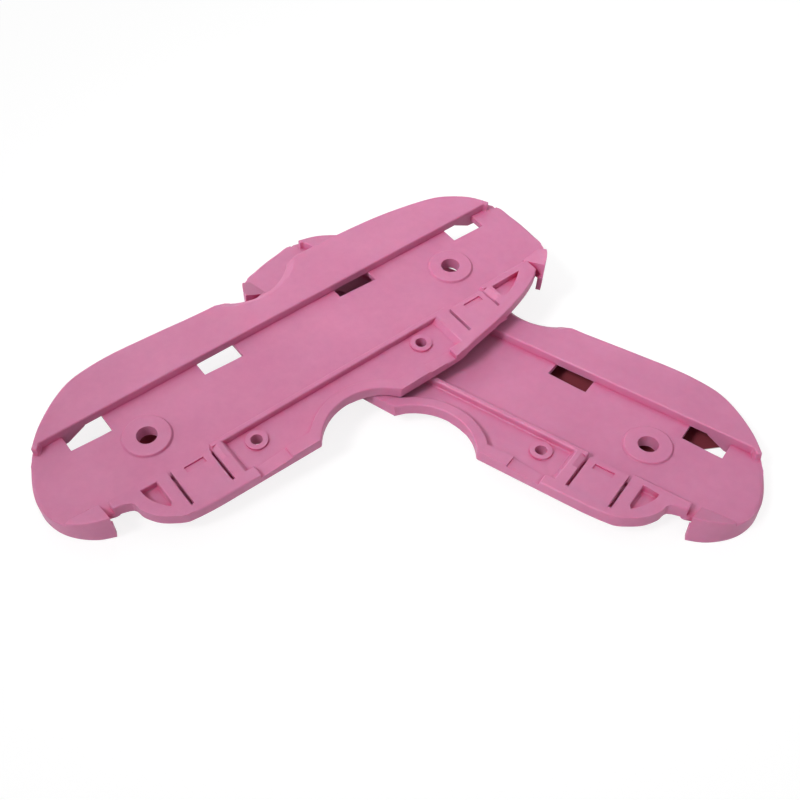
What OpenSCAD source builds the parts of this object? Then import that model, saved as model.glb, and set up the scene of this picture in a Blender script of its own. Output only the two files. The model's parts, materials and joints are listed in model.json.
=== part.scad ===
// Pair of soul plates of an aggressive inline skate, laid crossed with the frame side up.
// Each plate is one moulding: a long channel that the wheel frame sits in, a wide outer flange,
// an inner flange with two spring tongues, deep walls round both ends and an upright claw at each
// inner corner. The two plates are mirror images. The lower one lies flat and the upper one leans on it.
// Millimetres, +Z up, X along the lower plate.

/* [Frame mount] */
// Distance between the two frame bolts
bolt_spacing = 165; // [163:0.5:167]
// Diameter of a frame bolt hole
bolt_hole_d = 9; // [8:0.1:10]
// Diameter of the raised ring round a frame bolt hole
bolt_ring_d = 20.9; // [18:0.1:22]
// Height of the raised ring
bolt_ring_h = 1.2; // [0.6:0.1:1.6]
// Width of the channel that the frame sits in
channel_w = 42; // [41.6:0.1:42.4]

/* [Plate] */
// Reach of the heel end from the middle of the frame bolts
heel_reach = 133.3; // [132.8:0.1:133.5]
// Reach of the toe end from the middle of the frame bolts
toe_reach = 130.9; // [130.4:0.1:131.2]
// Height of the flange tops above the channel floor
flange_h = 4.3; // [3.8:0.1:4.8]
// Thickness of the channel floor
floor_t = 3; // [2.4:0.1:3.4]
// Thickness of a flange
flange_t = 2.8; // [2.4:0.1:3]
// Depth of the inner flange's rim below the channel floor
rim_drop = 1.5; // [1:0.1:2]
// Thickness of rims and walls
wall = 2.4; // [2:0.1:2.6]
// Depth of the end walls and the outer wall below the channel floor
skirt_drop = 9; // [8.5:0.1:9]
// Height of the heel claw above the channel floor
heel_claw_h = 6.2; // [5:0.1:7]
// Height of the toe claw above the channel floor
toe_claw_h = 9; // [7:0.1:9.6]

/* [Grind notches] */
// Radius of the half-round notch in each flange
notch_r = 26; // [25:0.1:26.5]
// Width of the raised rim round the inner notch
notch_rim = 5; // [4:0.1:5.5]
// Thickness of the wall round the outer notch
notch_wall = 4.2; // [3:0.1:4.2]
// Width of the sloping facet round the outer notch
facet_w = 4; // [2:0.1:5]
// Depth of the sloping facet
facet_h = 2.3; // [1:0.1:2.6]

/* [Insert recess] */
// Height of the recess floor above the channel floor
recess_z = 1; // [0.6:0.1:1.4]
// Slope of the recess's end walls, as their run across
recess_draft = 2; // [1:0.1:2.4]
// Depth of the lanes at their deep side
lane_deep = 2.4; // [1.8:0.1:2.8]
// Depth of the lanes at the side of the notch
lane_shallow = 0.9; // [0.5:0.1:1.2]
// Distance between the two small screw holes
screw_spacing = 87.8; // [86:0.2:89]
// Diameter of a small screw hole
screw_hole_d = 5.2; // [4.6:0.1:5.6]

/* [Spring tongues] */
// Width of the slots beside a tongue
slot_w = 1.5; // [1.2:0.1:1.8]
// Gap at the tongue's root
root_gap = 0.3; // [0.25:0.05:0.4]

/* [Crossed pose] */
// Turn of the upper plate about the vertical
cross_angle = 73.2; // [72:0.1:74]
// Rise of the upper plate along its length
pitch_angle = 3.4; // [3.4:0.1:3.6]
// Rise of the upper plate's outer flange
roll_angle = 6.2; // [6.2:0.1:6.4]

/* [Hidden] */
$fn = 48;
pink = [0.84, 0.55, 0.68];
e = 0.01;
cw = channel_w / 2;
bolt_x = bolt_spacing / 2;
screw_x = screw_spacing / 2;
screw_mid = -3.7;
screw_y = -30;
low = -rim_drop;
// Centre of the inner notch circle and of the outer one
inner_notch = [-5.5, -62.3];
outer_notch = [-1, 63.1];
// Where the inner flange ends at the heel and at the toe, and where the claws end
flange_heel = -heel_reach + 22.3;
flange_toe = toe_reach - 18.9;
claw_heel = -heel_reach + 19.1;
claw_toe = toe_reach - 17.4;
// Where the lower plate's centre and the upper plate's centre lie
lower_at = [0.6, 43, skirt_drop];
upper_at = lower_at + [-65.4, -42.8, 10.2];

// Smooth curve through a few points, n steps between neighbours
function blend(a, b, c, d, t) =
    0.5 * (2 * b + (c - a) * t + (2 * a - 5 * b + 4 * c - d) * t * t
           + (3 * b - a - 3 * c + d) * t * t * t);
function curve(p, n = 4) =
    let (m = len(p) - 1)
    [for (i = [0 : m]) for (j = [0 : i < m ? n - 1 : 0])
        i == m ? p[m] : blend(p[max(i - 1, 0)], p[i], p[i + 1], p[min(i + 2, m)], j / n)];
// The same curve moved sideways by d, to the left of its direction
function inset(p, d) =
    [for (i = [0 : len(p) - 1])
        let (t = p[min(i + 1, len(p) - 1)] - p[max(i - 1, 0)])
        p[i] + d * [-t[1], t[0]] / norm(t)];
function reversed(p) = [for (i = [len(p) - 1 : -1 : 0]) p[i]];
function band(p, d) = concat(p, reversed(inset(p, d)));

// Heel end from the outer flange round to the claw, toe end from the claw round to the outer flange
heel_end = curve([[-heel_reach + 10.8, 23], [-heel_reach + 5.8, 15.5], [-heel_reach + 2.3, 7.9],
                  [-heel_reach + 0.2, 0.2], [-heel_reach, -6.5],
                  [-heel_reach + 1.5, -13], [-heel_reach + 4.3, -18.3], [-heel_reach + 8.3, -22.9],
                  [-heel_reach + 13, -26.6], [claw_heel, -29.4]]);
toe_end = curve([[claw_toe, -32], [toe_reach - 13.1, -28.8], [toe_reach - 9.4, -25.6],
                 [toe_reach - 5.9, -21.8], [toe_reach - 2.9, -17], [toe_reach - 0.9, -11],
                 [toe_reach, -3], [toe_reach, 8], [toe_reach - 1.3, 16.5], [toe_reach - 4.9, 23]]);
// Outer flange from toe to heel, inner flange from heel to toe
outer_edge = curve([[toe_reach - 6.3, 20.5], [toe_reach - 12, 29.6], [toe_reach - 21.8, 37.3],
                    [99.2, 41.1], [79.3, 44.9], [59.4, 46.7],
                    [27.8, 47.5], [0, 45.5], [-23, 42.6], [-48.7, 44.2], [-73, 45.4], [-87.3, 44.5],
                    [-97.1, 42.2], [-heel_reach + 26.3, 36.6], [-heel_reach + 16.2, 28.2],
                    [-heel_reach + 9.1, 19.8]]);
inner_edge = curve([[flange_heel, -25], [-heel_reach + 29.3, -27.4], [-heel_reach + 30.9, -32.5],
                    [-99.8, -37], [-97, -40],
                    [-92.3, -43.4], [-87.5, -45.4], [-79, -46.4], [-66, -46.8], [-26.7, -47.4],
                    [16, -46.9], [48, -46.7],
                    [58.4, -44.8], [79.1, -41], [94.7, -36.8], [toe_reach - 25.7, -32.7],
                    [flange_toe, -28.6]]);

// Prism between two heights
module slab(z0, z1, pts) {
    translate([0, 0, z0])
        linear_extrude(z1 - z0)
            polygon(pts);
}

// Upright box between two corners
module block(a, b) {
    translate(a)
        cube(b - a);
}

module notch(at, r) {
    translate([at[0], at[1], -skirt_drop - e])
        cylinder(h = flange_h + skirt_drop + 2 * e, r = r, $fn = 120);
}

module channel_floor() {
    slab(-floor_t, 0, concat(heel_end,
        [[claw_heel, -24], [flange_heel, -25], [flange_heel + 2, -24.8], [flange_heel + 2, -cw - wall],
         [flange_toe - 2, -cw - wall], [flange_toe - 2, -28], [flange_toe, -28],
         [claw_toe, -27.5]], toe_end));
}

// Deep wall round an end, open towards the boot
module end_wall(p) {
    slab(-skirt_drop, 0, band(p, wall));
}

// Upright claw: the end wall rises above the floor, and a flat ramp runs up to its ridge
module claw(p, tip, h, foot, base, turn) {
    intersection() {
        slab(-1, h, concat(p, base));
        translate([tip[0], foot, 0])
            rotate([-atan(h / (foot - tip[1])), 0, turn])
                translate([-40, -40, -40])
                    cube([80, 80, 40]);
    }
}

module claws() {
    last = len(heel_end) - 1;
    claw([for (i = [last - 12 : last]) heel_end[i]], heel_end[last], heel_claw_h, -17.4,
         [[claw_heel, -17.4], [-heel_reach + 15.2, -17], [-heel_reach + 6.8, -17]], -10);
    claw([for (i = [12 : -1 : 0]) toe_end[i]], toe_end[0], toe_claw_h, -17.6,
         [[claw_toe, -17.6], [toe_reach - 13.9, -17], [toe_reach - 5.9, -17]], 13);
}

module outer_outline(z0) {
    slab(z0, flange_h, concat(outer_edge, [[-heel_reach + 10.3, cw], [toe_reach - 6.9, cw]]));
}

module outer_flange() {
    difference() {
        union() {
            outer_outline(flange_h - flange_t);
            slab(-skirt_drop, flange_h, band(outer_edge, wall));
            intersection() {
                outer_outline(-skirt_drop);
                union() {
                    notch(outer_notch, notch_r + notch_wall);
                    block([-heel_reach + 8.3, cw, -floor_t], [toe_reach - 4.9, cw + wall, flange_h]);
                }
            }
            outer_ribs();
        }
        notch(outer_notch, notch_r);
        translate([outer_notch[0], outer_notch[1], flange_h - facet_h])
            cylinder(h = facet_h + e, r1 = notch_r, r2 = notch_r + facet_w, $fn = 120);
    }
}

// Cross ribs under the outer flange
module outer_ribs() {
    for (x = [-88, -69, -50, 52, 68, 86])
        block([x - 1, cw + wall / 2, -6], [x + 1, 41, flange_h - flange_t / 2]);
}

module inner_outline(z0, z1) {
    slab(z0, z1, concat(inner_edge, [[flange_toe, -cw], [flange_heel, -cw]]));
}

module inner_flange() {
    difference() {
        union() {
            inner_outline(flange_h - flange_t, flange_h);
            slab(low, flange_h, band(inner_edge, wall));
            block([flange_heel, -cw - wall, -floor_t], [flange_toe, -cw, flange_h]);
            intersection() {
                inner_outline(low, flange_h);
                union() {
                    notch(inner_notch, notch_r + notch_rim);
                    block([-62.5, -44, low], [56.5, -cw, flange_h]);
                    block([-101, -40, low], [-88.5, -cw, flange_h]);
                    block([84.5, -35, low], [107, -cw, flange_h]);
                }
            }
        }
        notch(inner_notch, notch_r);
        recess();
        pockets();
        scoop(heel_tongue[1][0] + slot_w - 0.2, heel_tongue[1][0] + slot_w + 2.6);
        scoop(toe_tongue[1][0] + slot_w - 0.2, toe_tongue[1][0] + slot_w + 2.6);
    }
}

// Prism along Y between two Y values, drawn in the XZ plane
module bar(y0, y1, pts) {
    translate([0, y1, 0])
        rotate([90, 0, 0])
            linear_extrude(y1 - y0)
                polygon(pts);
}

// Recess between the notch rim and the channel, with a sloping lane out to each side of the notch
module recess() {
    heel = -59.4;
    toe = 53.4;
    rise = recess_draft / 2;
    top = flange_h + e;
    difference() {
        bar(-41.5, -cw - wall, [[heel + rise, recess_z], [toe - rise, recess_z],
                                [toe + rise, top], [heel - rise, top]]);
        notch(inner_notch, notch_r + notch_rim);
    }
    lane(-56.1, -40.9);
    lane(47, 32);
}

// Lane across the notch rim, from its deep side to its shallow side
module lane(deep, shallow) {
    top = flange_h + e;
    bar(-52, -41, [[deep, flange_h - lane_deep], [shallow, flange_h - lane_shallow], [shallow, top], [deep, top]]);
}

// Scoop beside a slot, from its edge out to a width
module scoop(x0, x1) {
    top = flange_h + 1;
    bar(-31.5, -cw - wall, [[x0, flange_h - 1.6], [x1, flange_h], [x1, top], [x0, top]]);
}

// Pocket beside each tongue, towards the end of the plate
module pockets() {
    heel = curve([[-98.5, -24.4], [-98, -28.5], [-95.8, -33.5], [-92.3, -37.6]]);
    toe = curve([[87.4, -31], [89.5, -32.2], [97, -29.2], [104.4, -24.4]]);
    slab(recess_z, flange_h + e, concat(heel, [[-91.2, -36], [-91.2, -24.4]]));
    slab(recess_z, flange_h + e, concat([[87.2, -24.4]], toe));
}

// Plan of a tongue: from its root line at the outer side to its free end by the channel
heel_tongue = [[-84.3, -41.8], [-66.8, -41.8], [-66.8, -23], [-84.3, -23]];
toe_tongue = [[62.4, -38.4], [81.2, -35.2], [81.2, -23], [62.4, -23]];

// Opening that a tongue moves in, wider by a slot on both sides and open to the channel
module tongue_opening(t) {
    lean = slot_w * (t[1][1] - t[0][1]) / (t[1][0] - t[0][0]);
    x0 = t[0][0] - slot_w;
    x1 = t[1][0] + slot_w;
    slab(-floor_t - e, flange_h + e,
         [[x0, t[0][1] - root_gap - lean], [x1, t[1][1] - root_gap + lean],
          [x1, -cw + e], [x0, -cw + e]]);
}

// Web under a tongue, below its travel
module tongue_web(t) {
    beside = slot_w + 1.5;
    block([t[0][0] - beside, min(t[0][1], t[1][1]) - 1.5, -floor_t],
          [t[1][0] + beside, -cw, -floor_t + 1.2]);
}

module tongue(t, catch) {
    color(pink)
        difference() {
            slab(flange_h - flange_t, flange_h, t);
            block([catch[0], -28.2, flange_h - 0.8], [catch[1], -25.3, flange_h + e]);
        }
}

module heel_spring_tongue() {
    tongue(heel_tongue, [-79.2, -70.2]);
}

module toe_spring_tongue() {
    tongue(toe_tongue, [69, 78.4]);
}

module bosses() {
    for (s = [-1, 1]) {
        translate([s * bolt_x, 0, -5])
            cylinder(h = 5 + bolt_ring_h, d = bolt_ring_d);
        translate([screw_mid + s * screw_x, screw_y, -5])
            cylinder(h = 5 + recess_z + 1.2, d = 9.6);
    }
}

module holes() {
    for (s = [-1, 1]) {
        translate([s * bolt_x, 0, -7])
            cylinder(h = 10, d = bolt_hole_d);
        translate([screw_mid + s * screw_x, screw_y, -6])
            cylinder(h = 10, d = screw_hole_d);
    }
}

// Windows in the floor beside the outer flange: centre, half length and width
module windows() {
    for (w = [[-101.6, 9.3, 9], [-36.4, 9.7, 7.6], [38.6, 10, 5.4], [104.9, 9, 8.6]])
        block([w[0] - w[1], cw - w[2], -floor_t - e], [w[0] + w[1], cw + wall + e, e]);
}

// Hanging webs that run on from the end walls under the step and taper out behind the end windows
module end_webs() {
    bar(cw + e, cw + wall - e, [[-121, 1], [-121, -6.2], [-109, -5.3], [-100.4, -0.4], [-100.4, 1]]);
    bar(cw + e, cw + wall - e, [[121, 1], [121, -6.2], [112, -5.3], [103.4, -0.4], [103.4, 1]]);
}

module soul_plate() {
    color(pink) {
        difference() {
            union() {
                channel_floor();
                end_wall(heel_end);
                end_wall(toe_end);
                claws();
                outer_flange();
                difference() {
                    inner_flange();
                    tongue_opening(heel_tongue);
                    tongue_opening(toe_tongue);
                }
                tongue_web(heel_tongue);
                tongue_web(toe_tongue);
                bosses();
            }
            windows();
            holes();
        }
        end_webs();
    }
}

// The lower plate is the mirror image of the upper one
module lower() {
    translate(lower_at)
        mirror([1, 0, 0])
            children();
}

module upper() {
    translate(upper_at)
        rotate([roll_angle, -pitch_angle, cross_angle])
            children();
}

module left_soul_plate() {
    lower() soul_plate();
}

module right_soul_plate() {
    upper() soul_plate();
}

module left_heel_tongue() {
    lower() heel_spring_tongue();
}

module left_toe_tongue() {
    lower() toe_spring_tongue();
}

module right_heel_tongue() {
    upper() heel_spring_tongue();
}

module right_toe_tongue() {
    upper() toe_spring_tongue();
}

left_soul_plate();
right_soul_plate();
left_heel_tongue();
left_toe_tongue();
right_heel_tongue();
right_toe_tongue();
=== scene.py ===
# %% [markdown]
# # A crossed pair of soul plates
# A soul plate is the plastic sole under a skate boot that the wheel frame is bolted to. Here two of them,
# one for each foot, lie crossed on a white table with the frame side up. The frame gives every solid in its
# place, so this lesson adds what a solid model lacks: rounded moulded edges, a grained plastic, soft light
# and a camera where the photographer stood.

# %% Load the solids
import json
import math

import bmesh
import bpy
from mathutils import Matrix, Vector


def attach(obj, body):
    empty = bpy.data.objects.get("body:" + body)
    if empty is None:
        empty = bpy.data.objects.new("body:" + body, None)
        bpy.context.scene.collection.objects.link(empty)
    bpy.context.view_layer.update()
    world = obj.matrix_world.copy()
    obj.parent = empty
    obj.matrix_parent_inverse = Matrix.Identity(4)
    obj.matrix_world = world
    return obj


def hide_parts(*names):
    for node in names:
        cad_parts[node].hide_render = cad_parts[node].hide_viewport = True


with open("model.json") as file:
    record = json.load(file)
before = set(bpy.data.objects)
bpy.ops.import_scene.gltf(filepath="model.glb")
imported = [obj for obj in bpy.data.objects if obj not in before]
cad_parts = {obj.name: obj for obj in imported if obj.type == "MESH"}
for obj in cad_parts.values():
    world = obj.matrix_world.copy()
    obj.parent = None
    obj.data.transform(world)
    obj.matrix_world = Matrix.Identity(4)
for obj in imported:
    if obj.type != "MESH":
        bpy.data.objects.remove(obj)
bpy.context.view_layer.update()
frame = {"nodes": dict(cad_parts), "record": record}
scene = bpy.context.scene
scene.view_settings.view_transform = "Standard"
print("solids:", ", ".join(frame["nodes"]))

# %% [markdown]
# ## What the record tells
# The record names the body that each solid belongs to and the line on which each spring tongue bends.
# Reading both here, in place of typing them in again, keeps the looks in step with the solids. The bolt
# mount gives the middle and the upward axis of a plate.


# %% Bodies, tongue roots and plate axes
def side_of(name):
    return name.split("_")[0]


BEHAVIOUR = frame["record"]["behaviour"]
BODY_OF = {node: body for body, nodes in BEHAVIOUR["bodies"].items() for node in nodes}
ROOTS = {joint["child"]: (Vector(joint["pos_m"]), Vector(joint["axis"]))
         for joint in BEHAVIOUR["joints"] if joint["type"] == "hinge"}
BOLTS = {side_of(mount["name"]): mount
         for mount in frame["record"]["mounts"] if mount["name"].endswith("_frame_bolts")}


def plate_axes(side):
    """Middle between the two frame bolts on the channel floor, and the axis up out of that floor."""
    return Vector(BOLTS[side]["pos_m"]), Vector(BOLTS[side]["axis"])


print("tongues that bend:", ", ".join(ROOTS))

# %% [markdown]
# ## The camera
# The photographer stood in front of the right-hand half of the crossing and looked down at about 46 degrees
# through a normal lens. The aim is written as a heading, a downward tilt and a small roll, because these are
# easier to correct one at a time than a matrix.

# %% Place the camera
CAMERA_AT = (0.1546, -0.2422, 0.3220)
CAMERA_HEADING = math.radians(124.97)
CAMERA_DOWN = math.radians(46.15)
CAMERA_ROLL = math.radians(0.35)
LENS_MM = 44.28
SENSOR_MM = 36.0
NEAREST = 0.01

camera_data = bpy.data.cameras.new("camera")
camera_data.sensor_width = SENSOR_MM
camera_data.lens = LENS_MM
camera_data.clip_start = NEAREST
camera = bpy.data.objects.new("camera", camera_data)
turn = Matrix.Rotation(CAMERA_HEADING - math.pi / 2, 4, "Z")
tilt = Matrix.Rotation(math.pi / 2 - CAMERA_DOWN, 4, "X")
roll = Matrix.Rotation(CAMERA_ROLL, 4, "Z")
camera.matrix_world = Matrix.Translation(CAMERA_AT) @ turn @ tilt @ roll
scene.collection.objects.link(camera)
scene.camera = camera
print("camera distance from the crossing:", round(Vector(CAMERA_AT).length, 3), "m")

# %% [markdown]
# ## Small tools for materials
# A material in Blender is a graph of nodes. These helpers add a node, a noise texture, a colour ramp, a
# straight line between two limits, and a value made from two others. The noise is given its size in metres,
# so that a grain of 0.7 mm is written as 0.0007.


# %% Node helpers
def node(tree, kind, **values):
    made = tree.nodes.new(kind)
    for name, value in values.items():
        setattr(made, name, value)
    return made


def noise(tree, where, size, detail, rough):
    made = node(tree, "ShaderNodeTexNoise")
    made.inputs["Scale"].default_value = 1.0 / size
    made.inputs["Detail"].default_value = detail
    made.inputs["Roughness"].default_value = rough
    tree.links.new(where, made.inputs["Vector"])
    return made.outputs["Fac"]


def ramp(tree, factor, stops):
    made = node(tree, "ShaderNodeValToRGB")
    for at, _ in stops[1:-1]:
        made.color_ramp.elements.new(at)
    for element, (at, colour) in zip(made.color_ramp.elements, stops):
        element.position = at
        element.color = colour
    tree.links.new(factor, made.inputs["Fac"])
    return made.outputs["Color"]


def stretch(tree, value, start, end):
    """Straight line that is 0 at the start value and 1 at the end value."""
    made = node(tree, "ShaderNodeMapRange")
    made.inputs["From Min"].default_value = start
    made.inputs["From Max"].default_value = end
    tree.links.new(value, made.inputs["Value"])
    return made.outputs["Result"]


def both(tree, operation, first, second):
    made = node(tree, "ShaderNodeMath", operation=operation)
    tree.links.new(first, made.inputs[0])
    tree.links.new(second, made.inputs[1])
    return made.outputs["Value"]


# %% [markdown]
# ## The colour of the plastic
# The pink is dyed right through and a little cloudy, so two sizes of noise shift it by up to a tenth. Light
# that enters the plastic comes out again redder, which shows most where two faces meet in a corner. Ambient
# Occlusion finds those corners on any shape, and there a deeper, redder pink is painted in as shade.

# %% Pinks
PINK = (0.60, 0.20, 0.355, 1.0)
PINK_PALE = (0.64, 0.222, 0.385, 1.0)
PINK_DEEP = (0.56, 0.178, 0.327, 1.0)
# Painted shade: the deeper, redder pink for the corners.
PINK_CREASE_SHADE = (0.62, 0.06, 0.20, 1.0)
PINK_STOPS = [(0.3, PINK_DEEP), (0.5, PINK), (0.7, PINK_PALE)]
CLOUD = {"size": 0.035, "detail": 3.0, "rough": 0.55}
SPECK = {"size": 0.004, "detail": 4.0, "rough": 0.6}
SPECK_SHARE = 0.35
CREASE_REACH, CREASE_RAYS = 0.004, 8
CREASE_DEEP, CREASE_OPEN = 0.15, 0.85


def cloudy_pink(tree, where, speck):
    cloud = noise(tree, where, **CLOUD)
    blend = node(tree, "ShaderNodeMix", data_type="FLOAT")
    blend.inputs["Factor"].default_value = SPECK_SHARE
    tree.links.new(cloud, blend.inputs["A"])
    tree.links.new(speck, blend.inputs["B"])
    return ramp(tree, blend.outputs["Result"], PINK_STOPS)


# Painted shade: a deeper, redder pink mixed in where Ambient Occlusion finds a corner.
def painted_corner_shade(tree, colour):
    crease = node(tree, "ShaderNodeAmbientOcclusion", samples=CREASE_RAYS, only_local=True)
    crease.inputs["Distance"].default_value = CREASE_REACH
    mixed = node(tree, "ShaderNodeMix", data_type="RGBA")
    mixed.inputs["A"].default_value = PINK_CREASE_SHADE
    tree.links.new(stretch(tree, crease.outputs["AO"], CREASE_DEEP, CREASE_OPEN), mixed.inputs["Factor"])
    tree.links.new(colour, mixed.inputs["B"])
    return mixed.outputs["Result"]


# %% [markdown]
# ## The finish of the plastic
# The mould's fine even texture leaves a grain and a dull sheen on the plastic. A bump from fine noise gives
# the grain, the specks of the colour also vary the roughness, and subsurface scattering gives the soft look
# of a thick moulding. Each plate gets its own stretch of the noise, so that the two don't show the same
# clouds.

# %% Make the plastic
GRAIN = {"size": 0.0007, "detail": 2.0, "rough": 0.5}
GRAIN_DEPTH, GRAIN_STRENGTH = 0.0002, 0.10
SHINY, DULL = 0.46, 0.60
SHEEN = 0.45
SCATTER_SHARE, SCATTER_DEPTH = 0.5, 0.003
SCATTER_BY_COLOUR = (1.0, 0.3, 0.45)
SHIFTS = {"left": (0.0, 0.0, 0.0), "right": (0.31, 0.217, 0.0)}


def dull_sheen(tree, speck):
    gloss = node(tree, "ShaderNodeMapRange")
    gloss.inputs["To Min"].default_value = SHINY
    gloss.inputs["To Max"].default_value = DULL
    tree.links.new(speck, gloss.inputs["Value"])
    return gloss.outputs["Result"]


def fine_grain(tree, where):
    bump = node(tree, "ShaderNodeBump")
    bump.inputs["Strength"].default_value = GRAIN_STRENGTH
    bump.inputs["Distance"].default_value = GRAIN_DEPTH
    tree.links.new(noise(tree, where, **GRAIN), bump.inputs["Height"])
    return bump.outputs["Normal"]


def pink_plastic(side):
    material = bpy.data.materials.new("pink_plastic_" + side)
    material.use_nodes = True
    tree = material.node_tree
    shader = tree.nodes["Principled BSDF"]
    shifted = node(tree, "ShaderNodeVectorMath", operation="ADD")
    shifted.inputs[1].default_value = SHIFTS[side]
    tree.links.new(node(tree, "ShaderNodeTexCoord").outputs["Object"], shifted.inputs[0])
    where = shifted.outputs["Vector"]
    speck = noise(tree, where, **SPECK)
    tree.links.new(painted_corner_shade(tree, cloudy_pink(tree, where, speck)), shader.inputs["Base Color"])
    tree.links.new(dull_sheen(tree, speck), shader.inputs["Roughness"])
    tree.links.new(fine_grain(tree, where), shader.inputs["Normal"])
    shader.inputs["Specular IOR Level"].default_value = SHEEN
    shader.inputs["Subsurface Weight"].default_value = SCATTER_SHARE
    shader.inputs["Subsurface Radius"].default_value = SCATTER_BY_COLOUR
    shader.inputs["Subsurface Scale"].default_value = SCATTER_DEPTH
    return material


plastics = {side: pink_plastic(side) for side in SHIFTS}
for name, solid in frame["nodes"].items():
    for slot in solid.material_slots:
        slot.material = plastics[side_of(name)]
print("plastics:", ", ".join(material.name for material in plastics.values()))

# %% [markdown]
# ## A copy that can be rounded
# A moulding has no sharp edge, so each solid is dressed in a rounded copy of its own shape. The solid's mesh
# is loose triangles, so the copy first merges their corners. Once the ends are rolled, the triangles of each
# flat face are joined, because a bevel runs cleanly only along edges that are edges of the real object.

# %% Merge the corners and join the flat faces
SAME_POINT = 2e-6
FLAT = math.radians(0.8)


def merged_copy(name):
    shape = bmesh.new()
    shape.from_mesh(frame["nodes"][name].data)
    bmesh.ops.remove_doubles(shape, verts=shape.verts, dist=SAME_POINT)
    return shape


def join_flat_faces(shape):
    bmesh.ops.dissolve_limit(shape, angle_limit=FLAT, verts=shape.verts, edges=shape.edges)


# %% [markdown]
# ## Rolled ends
# Round the heel and the toe the floor of the plate rolls over into the wall in a wide soft curve, several
# times as wide as the other edges. One bevel with many segments makes that curve on the rim alone. The rim is
# found by its place: level with the channel floor, far from the middle and with a steep turn.

# %% Find the rim
END_ROUND = 0.0022
END_SEGMENTS = 8
END_FROM = 0.1185
END_CLEAR = 0.0065
LEVEL = 0.0001
STEEP = math.radians(60)
UPRIGHT = 0.05


def join_walls(shape, up):
    walls = [edge for edge in shape.edges
             if all(abs(face.normal.dot(up)) < UPRIGHT for face in edge.link_faces)]
    bmesh.ops.dissolve_limit(shape, angle_limit=FLAT, verts=[], edges=walls)


def is_rim(edge, middle, up):
    if not (edge.is_manifold and edge.is_convex) or edge.calc_face_angle() < STEEP:
        return False
    offsets = [end.co - middle for end in edge.verts]
    return all(abs(offset.dot(up)) < LEVEL and offset.length > END_FROM for offset in offsets)


def chain_ends(edges):
    """Places where a row of edges stops: the corners that only one edge of the row uses."""
    uses = {}
    for edge in edges:
        for end in edge.verts:
            uses[end] = uses.get(end, 0) + 1
    return [end.co.copy() for end, count in uses.items() if count == 1]


def nearest_of(point, places):
    return min((point - place).length for place in places)


# %% [markdown]
# The rim stops at the flange and at the claw, where a wide curve has no room. The roll keeps clear of both
# and fades out: close to its end, each point of the curve moves away from the curve's centre until it lies on
# the floor or on the wall again. That way the curve runs out into the sharp edge without a step.

# %% Roll the floor over at both ends
END_FADE = 0.009
ROUND_PROFILE = 0.5


def fade_out(vert, rim_line, tips, up):
    """Stretches a point's offset from the curve's centre until its larger part equals the radius, which puts
    the point on the floor or on the wall. A smooth step towards the tips gives the share of that stretch."""
    feet = []
    for start, end in rim_line:
        along = max(0.0, min(1.0, (vert.co - start).dot(end - start) / (end - start).length_squared))
        feet.append(start.lerp(end, along))
    offset = vert.co - min(feet, key=lambda foot: (vert.co - foot).length_squared)
    depth = -offset.dot(up)
    inward = offset + depth * up
    inset = inward.length
    growth = END_ROUND / max(END_ROUND - depth, END_ROUND - inset) - 1.0
    near = max(0.0, 1.0 - nearest_of(vert.co, tips) / END_FADE)
    fade = near * near * (3.0 - 2.0 * near)
    vert.co += fade * growth * ((END_ROUND - depth) * up - (END_ROUND - inset) * inward.normalized())


def roll_ends(shape, side):
    middle, up = plate_axes(side)
    join_walls(shape, up)
    rim = [edge for edge in shape.edges if is_rim(edge, middle, up)]
    stops = chain_ends(rim)
    rim = [edge for edge in rim if all(nearest_of(end.co, stops) > END_CLEAR for end in edge.verts)]
    tips = chain_ends(rim)
    rim_line = [(edge.verts[0].co.copy(), edge.verts[1].co.copy()) for edge in rim]
    made = bmesh.ops.bevel(shape, geom=rim, offset=END_ROUND, offset_type="OFFSET", segments=END_SEGMENTS,
                           profile=ROUND_PROFILE, affect="EDGES", clamp_overlap=False, loop_slide=False)
    rolled = shape.verts.layers.int.new("rolled")
    for vert in {vert for face in made["faces"] for vert in face.verts}:
        fade_out(vert, rim_line, tips, up)
        vert[rolled] = 1
    print(side, "plate: rolled", len(rim), "edges of the rim")


# %% [markdown]
# ## Tongue roots
# A spring tongue is moulded in one with its plate and bends at its root. The solids leave a hair's gap there
# so that the tongue can move as a body of its own. The copy of the tongue reaches across that gap, so that
# the plastic looks unbroken, and no edge is rounded there.

# %% Close the gap at a root
ROOT_GAP = 0.0003
ROOT_HALF_WIDTH = 0.012
ROOT_REACH = 0.0018
ROOT_FACE = 0.001


def at_root(point):
    for middle, axis in ROOTS.values():
        offset = point - middle
        along = offset.dot(axis)
        if abs(along) < ROOT_HALF_WIDTH and (offset - along * axis).length < ROOT_REACH:
            return True
    return False


def close_root_gap(shape, name):
    middle, axis = ROOTS[name]
    centre = sum((vert.co for vert in shape.verts), Vector()) / len(shape.verts)
    outward = middle - centre
    outward = (outward - outward.dot(axis) * axis).normalized()
    for vert in shape.verts:
        if (vert.co - middle).dot(outward) > -ROOT_FACE:
            vert.co += ROOT_GAP * outward


# %% [markdown]
# ## Which edges are rounded
# A bevel of half a millimetre suits every sharp edge, but it would overshoot in a corner that is narrower
# than the bevel, such as the tip of a claw. A weight on each edge tells the modifier where to work: 1 on a
# sharp edge, and 0 where one end of it lies in a narrow corner, on a very short edge, on a rolled end or at a
# tongue's root.

# %% Weigh the edges
ROUNDED = math.radians(32)
NARROW = math.radians(38)
SHORT = 0.0014


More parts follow.
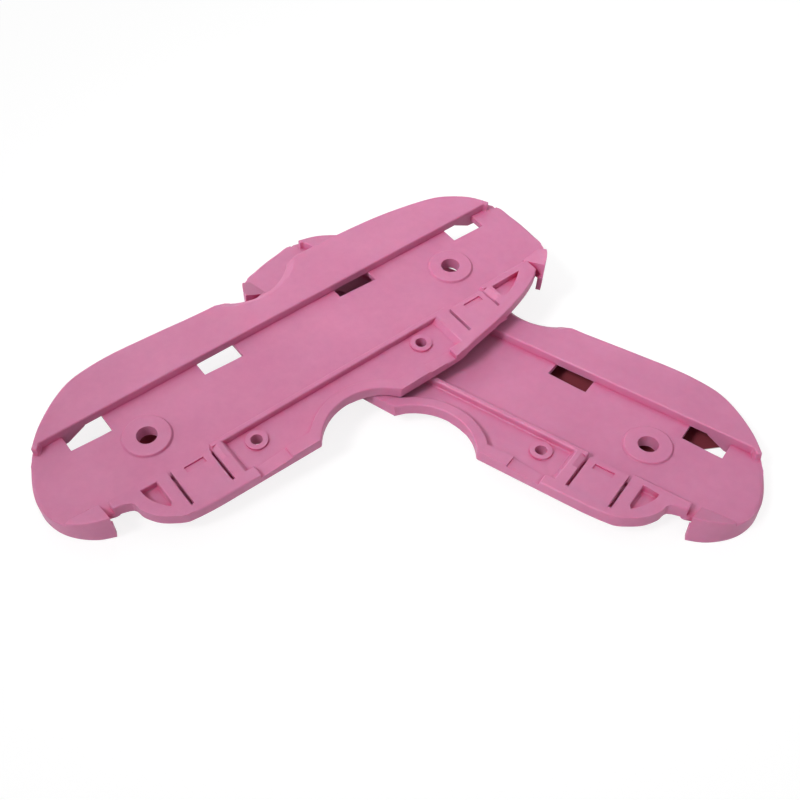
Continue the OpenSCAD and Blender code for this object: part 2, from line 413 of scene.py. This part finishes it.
def weigh_edges(shape):
    weight = shape.edges.layers.float.new("bevel_weight_edge")
    sharp = [edge for edge in shape.edges if edge.calc_face_angle(0.0) > ROUNDED]
    tight = {loop.vert for face in shape.faces for loop in face.loops if loop.calc_angle() < NARROW}
    tight |= {end for edge in sharp if edge.calc_length() < SHORT for end in edge.verts}
    tight |= {vert for vert in shape.verts if at_root(vert.co)}
    rolled = shape.verts.layers.int.get("rolled")
    if rolled:
        tight |= {vert for vert in shape.verts if vert[rolled]}
    rounded = [edge for edge in sharp if not tight & set(edge.verts)]
    for edge in rounded:
        edge[weight] = 1.0
    print("rounded", len(rounded), "of", len(sharp), "sharp edges")


# %% [markdown]
# ## Dress the solids
# The copy takes the place of its solid, rides on the same body and wears the same plastic. Bevel rounds
# the weighed edges, and Weld removes the slivers that it leaves where two of its points fall together.
# Weighted Normal then lets the large flat faces lead the shading, so that they stay flat to the eye and only
# the roundings look round.

# %% Rounded mouldings
EDGE_ROUND = 0.0005
EDGE_SEGMENTS = 2
CREASED = math.radians(14)
LARGE_FACES_LEAD = 100


def plastic_mesh(shape, name):
    for face in shape.faces:
        face.smooth = True
    mesh = bpy.data.meshes.new(name + "_moulding")
    shape.to_mesh(mesh)
    shape.free()
    mesh.set_sharp_from_angle(angle=CREASED)
    mesh.materials.clear()
    mesh.materials.append(plastics[side_of(name)])
    return mesh


def round_edges(piece):
    rounding = piece.modifiers.new("rounding", "BEVEL")
    rounding.width = EDGE_ROUND
    rounding.segments = EDGE_SEGMENTS
    rounding.limit_method = "WEIGHT"
    rounding.use_clamp_overlap = False
    weld = piece.modifiers.new("weld", "WELD")
    weld.merge_threshold = SAME_POINT
    flatten = piece.modifiers.new("flatten", "WEIGHTED_NORMAL")
    flatten.keep_sharp = True
    flatten.weight = LARGE_FACES_LEAD


def moulding(name):
    shape = merged_copy(name)
    if name in ROOTS:
        close_root_gap(shape, name)
    else:
        roll_ends(shape, side_of(name))
    join_flat_faces(shape)
    weigh_edges(shape)
    piece = bpy.data.objects.new(name + "_moulding", plastic_mesh(shape, name))
    scene.collection.objects.link(piece)
    round_edges(piece)
    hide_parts(name)
    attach(piece, BODY_OF[name])
    return piece


mouldings = [moulding(name) for name in list(frame["nodes"])]
print("mouldings:", len(mouldings), "with", sum(len(piece.data.polygons) for piece in mouldings), "faces")

# %% [markdown]
# ## What the camera sees of the surroundings
# The table and the sky look white, but they must not flood the plates with light. Light Path tells the kind
# of ray that asks, so a ray from the camera, or one mirrored or bent on its way there, gets the white look
# and every other ray gets plain studio light.


# %% Rays that end in the picture
def camera_sees(tree):
    rays = node(tree, "ShaderNodeLightPath")
    seen = rays.outputs["Is Camera Ray"]
    for other in ("Is Glossy Ray", "Is Transmission Ray"):
        seen = both(tree, "MAXIMUM", seen, rays.outputs[other])
    return seen


# %% [markdown]
# ## The shade under the plates
# Ground seen through the lower plate's windows and bolt holes lies in deep reddish shade, up to a light
# corner at its heel. That plate always lies in its place, so a band of the table under its flange is simply
# darkened. The upper plate can be lifted off, so the spot under its low bolt hole is dark only while Ambient
# Occlusion finds the plate close above it.

# %% Where the table lies open
UNDER_LOWER = ((-0.095, 0.060, 0.0), (0.100, 0.060, 0.0), 0.024)
LIGHT_CORNER = ((1.0, -1.0, 0.0), 0.0380, 0.0390)
UNDER_BOLT = ((-0.094, -0.074, 0.0), (-0.100, -0.070, 0.0), 0.010)
SOFT_EDGE = 0.96
COVER_REACH, COVER_RAYS = 0.03, 16
COVERED, OPEN = 0.50, 0.70


def outside(tree, start, end, radius):
    """1 on the open table and 0 within a radius of the line from start to end."""
    line = Vector(end) - Vector(start)
    offset = node(tree, "ShaderNodeVectorMath", operation="SUBTRACT")
    offset.inputs[1].default_value = start
    tree.links.new(node(tree, "ShaderNodeTexCoord").outputs["Object"], offset.inputs[0])
    along = node(tree, "ShaderNodeVectorMath", operation="DOT_PRODUCT")
    along.inputs[1].default_value = line / line.length_squared
    tree.links.new(offset.outputs["Vector"], along.inputs[0])
    clamped = node(tree, "ShaderNodeClamp")
    tree.links.new(along.outputs["Value"], clamped.inputs["Value"])
    foot = node(tree, "ShaderNodeVectorMath", operation="SCALE")
    foot.inputs[0].default_value = line
    tree.links.new(clamped.outputs["Result"], foot.inputs["Scale"])
    gap = node(tree, "ShaderNodeVectorMath", operation="DISTANCE")
    tree.links.new(offset.outputs["Vector"], gap.inputs[0])
    tree.links.new(foot.outputs["Vector"], gap.inputs[1])
    return stretch(tree, gap.outputs["Value"], SOFT_EDGE * radius, radius)


def beyond(tree, direction, start, full):
    """0 up to a straight line across the table and 1 past it, measured along a direction."""
    reach = node(tree, "ShaderNodeVectorMath", operation="DOT_PRODUCT")
    reach.inputs[1].default_value = direction
    tree.links.new(node(tree, "ShaderNodeTexCoord").outputs["Object"], reach.inputs[0])
    return stretch(tree, reach.outputs["Value"], start, full)


def open_table(tree):
    cover = node(tree, "ShaderNodeAmbientOcclusion", samples=COVER_RAYS)
    cover.inputs["Distance"].default_value = COVER_REACH
    lifted = stretch(tree, cover.outputs["AO"], COVERED, OPEN)
    upper = both(tree, "MAXIMUM", outside(tree, *UNDER_BOLT), lifted)
    lower = both(tree, "MAXIMUM", outside(tree, *UNDER_LOWER), beyond(tree, *LIGHT_CORNER))
    return both(tree, "MULTIPLY", lower, upper)


# %% [markdown]
# ## The table
# The table is white and keeps a faint shadow. To the camera it glows a little, so that it looks white without
# more light on the plates, and the glow is left out where the table lies in the plates' shade.

# %% White table
TABLE_HALF = 3.0
TABLE_WHITE = (0.9, 0.9, 0.9, 1.0)
SHADOW_SHARE = (0.22, 0.22, 0.22, 1.0)
SHADE_UNDER = (0.24, 0.045, 0.06, 1.0)
GLOW = 0.84


def table_look(tree):
    """Diffuse tone for the shadow, plus a glow that is full where the table lies open."""
    opened = open_table(tree)
    tone = node(tree, "ShaderNodeMix", data_type="RGBA")
    tone.inputs["A"].default_value = SHADE_UNDER
    tone.inputs["B"].default_value = SHADOW_SHARE
    tree.links.new(opened, tone.inputs["Factor"])
    faint = node(tree, "ShaderNodeBsdfDiffuse")
    tree.links.new(tone.outputs["Result"], faint.inputs["Color"])
    strength = node(tree, "ShaderNodeMath", operation="MULTIPLY")
    strength.inputs[1].default_value = GLOW
    tree.links.new(opened, strength.inputs[0])
    glow = node(tree, "ShaderNodeEmission")
    tree.links.new(strength.outputs["Value"], glow.inputs["Strength"])
    shown = node(tree, "ShaderNodeAddShader")
    tree.links.new(faint.outputs["BSDF"], shown.inputs[0])
    tree.links.new(glow.outputs["Emission"], shown.inputs[1])
    return shown.outputs["Shader"]


def white_table():
    material = bpy.data.materials.new("white_table")
    material.use_nodes = True
    tree = material.node_tree
    tree.nodes.remove(tree.nodes["Principled BSDF"])
    lit = node(tree, "ShaderNodeBsdfDiffuse")
    lit.inputs["Color"].default_value = TABLE_WHITE
    mixed = node(tree, "ShaderNodeMixShader")
    tree.links.new(camera_sees(tree), mixed.inputs["Fac"])
    tree.links.new(lit.outputs["BSDF"], mixed.inputs[1])
    tree.links.new(table_look(tree), mixed.inputs[2])
    tree.links.new(mixed.outputs["Shader"], tree.nodes["Material Output"].inputs["Surface"])
    return material


corners = [(x * TABLE_HALF, y * TABLE_HALF, 0.0) for x, y in ((-1, -1), (1, -1), (1, 1), (-1, 1))]
table_mesh = bpy.data.meshes.new("table")
table_mesh.from_pydata(corners, [], [(0, 1, 2, 3)])
table_mesh.materials.append(white_table())
table = bpy.data.objects.new("table", table_mesh)
scene.collection.objects.link(table)
print("table:", 2 * TABLE_HALF, "m wide")

# %% [markdown]
# ## Light
# In the photo the light comes from high in front on the left and falls towards the back, so that the near
# ends are a little darker. A disc lamp with a narrow spread does that, a wide weak lamp at the back left
# lifts the far walls, and an even sky fills the rest.


# %% Lamps and sky
def lamp(name, at, aim, size, power, spread):
    data = bpy.data.lights.new(name, "AREA")
    data.shape = "DISK"
    data.size = size
    data.energy = power
    data.spread = math.radians(spread)
    made = bpy.data.objects.new(name, data)
    sight = Vector(at) - Vector(aim)
    made.matrix_world = Matrix.Translation(at) @ sight.to_track_quat("Z", "Y").to_matrix().to_4x4()
    scene.collection.objects.link(made)


lamp("key", at=(-0.28, -0.78, 1.0), aim=(0.0, 0.19, 0.0), size=0.40, power=0.46, spread=30)
lamp("back", at=(-0.70, 0.30, 0.75), aim=(0.0, 0.05, 0.0), size=0.9, power=0.9, spread=120)

SKY_COLOUR = (1.0, 1.0, 1.0, 1.0)
SKY_FILL, SKY_WHITE = 0.46, 1.0
world = bpy.data.worlds.new("sky")
scene.world = world
world.use_nodes = True
sky = world.node_tree.nodes["Background"]
sky.inputs["Color"].default_value = SKY_COLOUR
level = node(world.node_tree, "ShaderNodeMapRange")
level.inputs["To Min"].default_value = SKY_FILL
level.inputs["To Max"].default_value = SKY_WHITE
world.node_tree.links.new(camera_sees(world.node_tree), level.inputs["Value"])
world.node_tree.links.new(level.outputs["Result"], sky.inputs["Strength"])
print("lamps:", ", ".join(light.name for light in bpy.data.lights))
